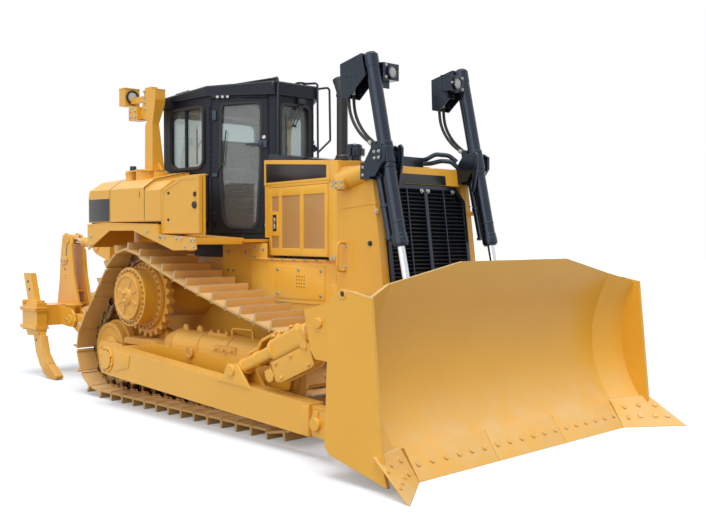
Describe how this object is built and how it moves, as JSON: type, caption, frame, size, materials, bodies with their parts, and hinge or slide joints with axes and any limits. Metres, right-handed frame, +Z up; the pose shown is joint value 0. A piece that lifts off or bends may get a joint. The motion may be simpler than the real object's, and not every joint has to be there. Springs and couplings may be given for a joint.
{
  "type": "bulldozer",
  "caption": "Crawler bulldozer with high drive sprockets, semi-U blade on push arms, cab with hinged doors and a parallelogram ripper; blade, ripper and doors move.",
  "frame": {"origin": "on the ground under the middle of the machine's box, blade and ripper included", "axes": "+X towards the blade, +Y towards the machine's left, +Z up"},
  "size_m": [7.5, 3.69, 3.31],
  "materials": {
    "yellow_paint": "satin construction yellow",
    "black_paint": "semi-gloss black",
    "cab_paint": "satin charcoal",
    "glass": "green tinted",
    "chrome": "polished",
    "hose_rubber": "matt",
    "seat_trim": "woven, matt",
    "console_plastic": "grained",
    "engine_iron": "as cast, painted"
  },
  "bodies": {
    "tractor": {"main_frame": "yellow_paint", "engine_block": "engine_iron", "radiator_guard": "yellow_paint", "grille": "black_paint", "hood": "yellow_paint", "fenders": "yellow_paint", "fuel_tank": "yellow_paint", "side_tank_right": "yellow_paint", "side_tank_left": "yellow_paint", "tool_box": "yellow_paint", "battery_box": "yellow_paint", "cab_shell": "cab_paint", "cab_roof": "cab_paint", "cab_glass": "glass", "seat": "seat_trim", "cab_controls": "console_plastic", "rops_frame": "yellow_paint", "rear_lamps": "yellow_paint", "exhaust_stack": "black_paint", "precleaner": "black_paint", "roller_frame_right": "yellow_paint", "roller_frame_left": "yellow_paint", "track_right": "yellow_paint", "track_left": "yellow_paint", "sprockets": "yellow_paint", "final_drives": "yellow_paint", "idlers": "yellow_paint", "rollers": "yellow_paint", "lift_yokes": "black_paint", "ripper_bracket": "yellow_paint"},
    "blade_carrier": {"trunnion_caps": "yellow_paint"},
    "blade": {"blade": "yellow_paint", "cutting_edge": "yellow_paint"},
    "ripper_drawframe": {"ripper_drawframe": "yellow_paint"},
    "ripper_link": {"ripper_pins": "yellow_paint"},
    "ripper_beam": {"ripper_beam": "yellow_paint", "ripper_shank": "yellow_paint"},
    "ripper_tilt_barrels": {"ripper_tilt_barrels": "yellow_paint"},
    "ripper_tilt_rods": {"ripper_tilt_rods": "chrome"},
    "ripper_lift_barrels": {"ripper_lift_barrels": "yellow_paint"},
    "ripper_lift_rods": {"ripper_lift_rods": "chrome"},
    "battery_box_door": {"battery_box_door": "yellow_paint"},
    "push_arm_right": {"push_arm_right": "yellow_paint"},
    "tilt_barrel_right": {"tilt_barrel_right": "yellow_paint"},
    "tilt_rod_right": {"tilt_rod_right": "chrome"},
    "lift_barrel_right": {"lift_barrel_right": "black_paint", "lift_hoses_right": "hose_rubber"},
    "lift_rod_right": {"lift_rod_right": "chrome"},
    "cab_door_right": {"cab_door_right": "cab_paint", "door_glass_right": "glass"},
    "engine_door_right": {"engine_door_right": "yellow_paint"},
    "push_arm_left": {"push_arm_left": "yellow_paint"},
    "tilt_barrel_left": {"tilt_barrel_left": "yellow_paint"},
    "tilt_rod_left": {"tilt_rod_left": "chrome"},
    "lift_barrel_left": {"lift_barrel_left": "black_paint", "lift_hoses_left": "hose_rubber"},
    "lift_rod_left": {"lift_rod_left": "chrome"},
    "cab_door_left": {"cab_door_left": "cab_paint", "door_glass_left": "glass"},
    "engine_door_left": {"engine_door_left": "yellow_paint"}
  },
  "joints": [
    {"name": "blade_lift", "type": "hinge", "parent": "tractor", "child": "blade_carrier", "pos_m": [-0.75, 0, 0.48], "axis": [0, -1, 0], "range_deg": [-6.8, 14.5]},
    {"name": "blade_tilt", "type": "hinge", "parent": "blade_carrier", "child": "blade", "pos_m": [2.475, 0, 0.48], "axis": [1, 0, 0], "range_deg": [-6.2, 6.2]},
    {"name": "push_arm_right_pivot", "type": "hinge", "parent": "blade_carrier", "child": "push_arm_right", "pos_m": [-0.75, -1.392, 0.48], "axis": [0, -1, 0], "range_deg": [-3, 3]},
    {"name": "tilt_barrel_right_pivot", "type": "hinge", "parent": "push_arm_right", "child": "tilt_barrel_right", "pos_m": [1.36, -1.392, 0.585], "axis": [0.3848, -0.1695, -0.9073], "range_deg": [-4, 4]},
    {"name": "tilt_rod_right_slide", "type": "slide", "parent": "tilt_barrel_right", "child": "tilt_rod_right", "axis": [0.9206, 0, 0.3904], "range_m": [-0.035, 0.035]},
    {"name": "lift_barrel_right_trunnion", "type": "hinge", "parent": "tractor", "child": "lift_barrel_right", "pos_m": [2.317, -0.59, 2.386], "axis": [0, -1, 0], "range_deg": [-3, 5]},
    {"name": "lift_rod_right_slide", "type": "slide", "parent": "lift_barrel_right", "child": "lift_rod_right", "axis": [0.2154, 0, -0.9765], "range_m": [-0.92, 0.45]},
    {"name": "push_arm_left_pivot", "type": "hinge", "parent": "blade_carrier", "child": "push_arm_left", "pos_m": [-0.75, 1.392, 0.48], "axis": [0, -1, 0], "range_deg": [-3, 3]},
    {"name": "tilt_barrel_left_pivot", "type": "hinge", "parent": "push_arm_left", "child": "tilt_barrel_left", "pos_m": [1.36, 1.392, 0.585], "axis": [0.3848, 0.1695, -0.9073], "range_deg": [-4, 4]},
    {"name": "tilt_rod_left_slide", "type": "slide", "parent": "tilt_barrel_left", "child": "tilt_rod_left", "axis": [0.9206, 0, 0.3904], "range_m": [-0.035, 0.035]},
    {"name": "lift_barrel_left_trunnion", "type": "hinge", "parent": "tractor", "child": "lift_barrel_left", "pos_m": [2.317, 0.59, 2.386], "axis": [0, -1, 0], "range_deg": [-3, 5]},
    {"name": "lift_rod_left_slide", "type": "slide", "parent": "lift_barrel_left", "child": "lift_rod_left", "axis": [0.2154, 0, -0.9765], "range_m": [-0.92, 0.45]},
    {"name": "ripper_lift", "type": "hinge", "parent": "tractor", "child": "ripper_drawframe", "pos_m": [-2.15, 0, 0.62], "axis": [0, 1, 0], "range_deg": [-44, 30]},
    {"name": "ripper_link_pivot", "type": "hinge", "parent": "ripper_drawframe", "child": "ripper_link", "pos_m": [-2.89, 0, 0.7], "axis": [0, 1, 0], "range_deg": [-31, 45]},
    {"name": "ripper_tilt", "type": "hinge", "parent": "ripper_link", "child": "ripper_beam", "pos_m": [-2.89, 0, 0.7], "axis": [0, -1, 0], "range_deg": [-12, 12]},
    {"name": "ripper_tilt_barrel_pivot", "type": "hinge", "parent": "tractor", "child": "ripper_tilt_barrels", "pos_m": [-2.56, 0, 1.6], "axis": [0, 1, 0], "range_deg": [-45, 31]},
    {"name": "ripper_tilt_rod_slide", "type": "slide", "parent": "ripper_tilt_barrels", "child": "ripper_tilt_rods", "axis": [-0.9942, 0, 0.1075], "range_m": [-0.21, 0.21]},
    {"name": "ripper_lift_barrel_pivot", "type": "hinge", "parent": "tractor", "child": "ripper_lift_barrels", "pos_m": [-2.3, 0, 1.62], "axis": [0, 1, 0], "range_deg": [-4, 3]},
    {"name": "ripper_lift_rod_slide", "type": "slide", "parent": "ripper_lift_barrels", "child": "ripper_lift_rods", "axis": [-0.3006, 0, -0.9538], "range_m": [-0.26, 0.36]},
    {"name": "cab_door_right_hinge", "type": "hinge", "parent": "tractor", "child": "cab_door_right", "pos_m": [-0.08297, -0.64271, 2.4], "axis": [0, 0, -1], "range_deg": [0, 72]},
    {"name": "engine_door_right_hinge", "type": "hinge", "parent": "tractor", "child": "engine_door_right", "pos_m": [1.59, -0.57411, 1.85], "axis": [0, 0, 1], "range_deg": [0, 90]},
    {"name": "cab_door_left_hinge", "type": "hinge", "parent": "tractor", "child": "cab_door_left", "pos_m": [-0.08297, 0.64271, 2.4], "axis": [0, 0, 1], "range_deg": [0, 72]},
    {"name": "engine_door_left_hinge", "type": "hinge", "parent": "tractor", "child": "engine_door_left", "pos_m": [1.59, 0.57411, 1.85], "axis": [0, 0, -1], "range_deg": [0, 90]},
    {"name": "battery_box_door_hinge", "type": "hinge", "parent": "tractor", "child": "battery_box_door", "pos_m": [-0.09, -1.235, 1.92], "axis": [0, 0, -1], "range_deg": [0, 90]}
  ],
  "couplings": [
    {"joint": "push_arm_right_pivot", "follows": "blade_tilt", "ratio": -0.43163},
    {"joint": "tilt_barrel_right_pivot", "follows": "blade_tilt", "ratio": 0.48375},
    {"joint": "tilt_rod_right_slide", "follows": "blade_tilt", "m_per_rad": -0.22963},
    {"joint": "lift_barrel_right_trunnion", "follows": "blade_lift", "ratio": 0.25707},
    {"joint": "lift_rod_right_slide", "follows": "blade_lift", "m_per_rad": -3.4095},
    {"joint": "push_arm_left_pivot", "follows": "blade_tilt", "ratio": 0.43163},
    {"joint": "tilt_barrel_left_pivot", "follows": "blade_tilt", "ratio": 0.48375},
    {"joint": "tilt_rod_left_slide", "follows": "blade_tilt", "m_per_rad": 0.22963},
    {"joint": "lift_barrel_left_trunnion", "follows": "blade_lift", "ratio": 0.25707},
    {"joint": "lift_rod_left_slide", "follows": "blade_lift", "m_per_rad": -3.4095},
    {"joint": "ripper_link_pivot", "follows": "ripper_lift", "ratio": -1},
    {"joint": "ripper_tilt_barrel_pivot", "follows": "ripper_lift", "ratio": 1},
    {"joint": "ripper_tilt_rod_slide", "follows": "ripper_tilt", "m_per_rad": 0.93026},
    {"joint": "ripper_lift_barrel_pivot", "follows": "ripper_lift", "ratio": 0.05},
    {"joint": "ripper_lift_rod_slide", "follows": "ripper_lift", "m_per_rad": -0.41622}
  ]
}
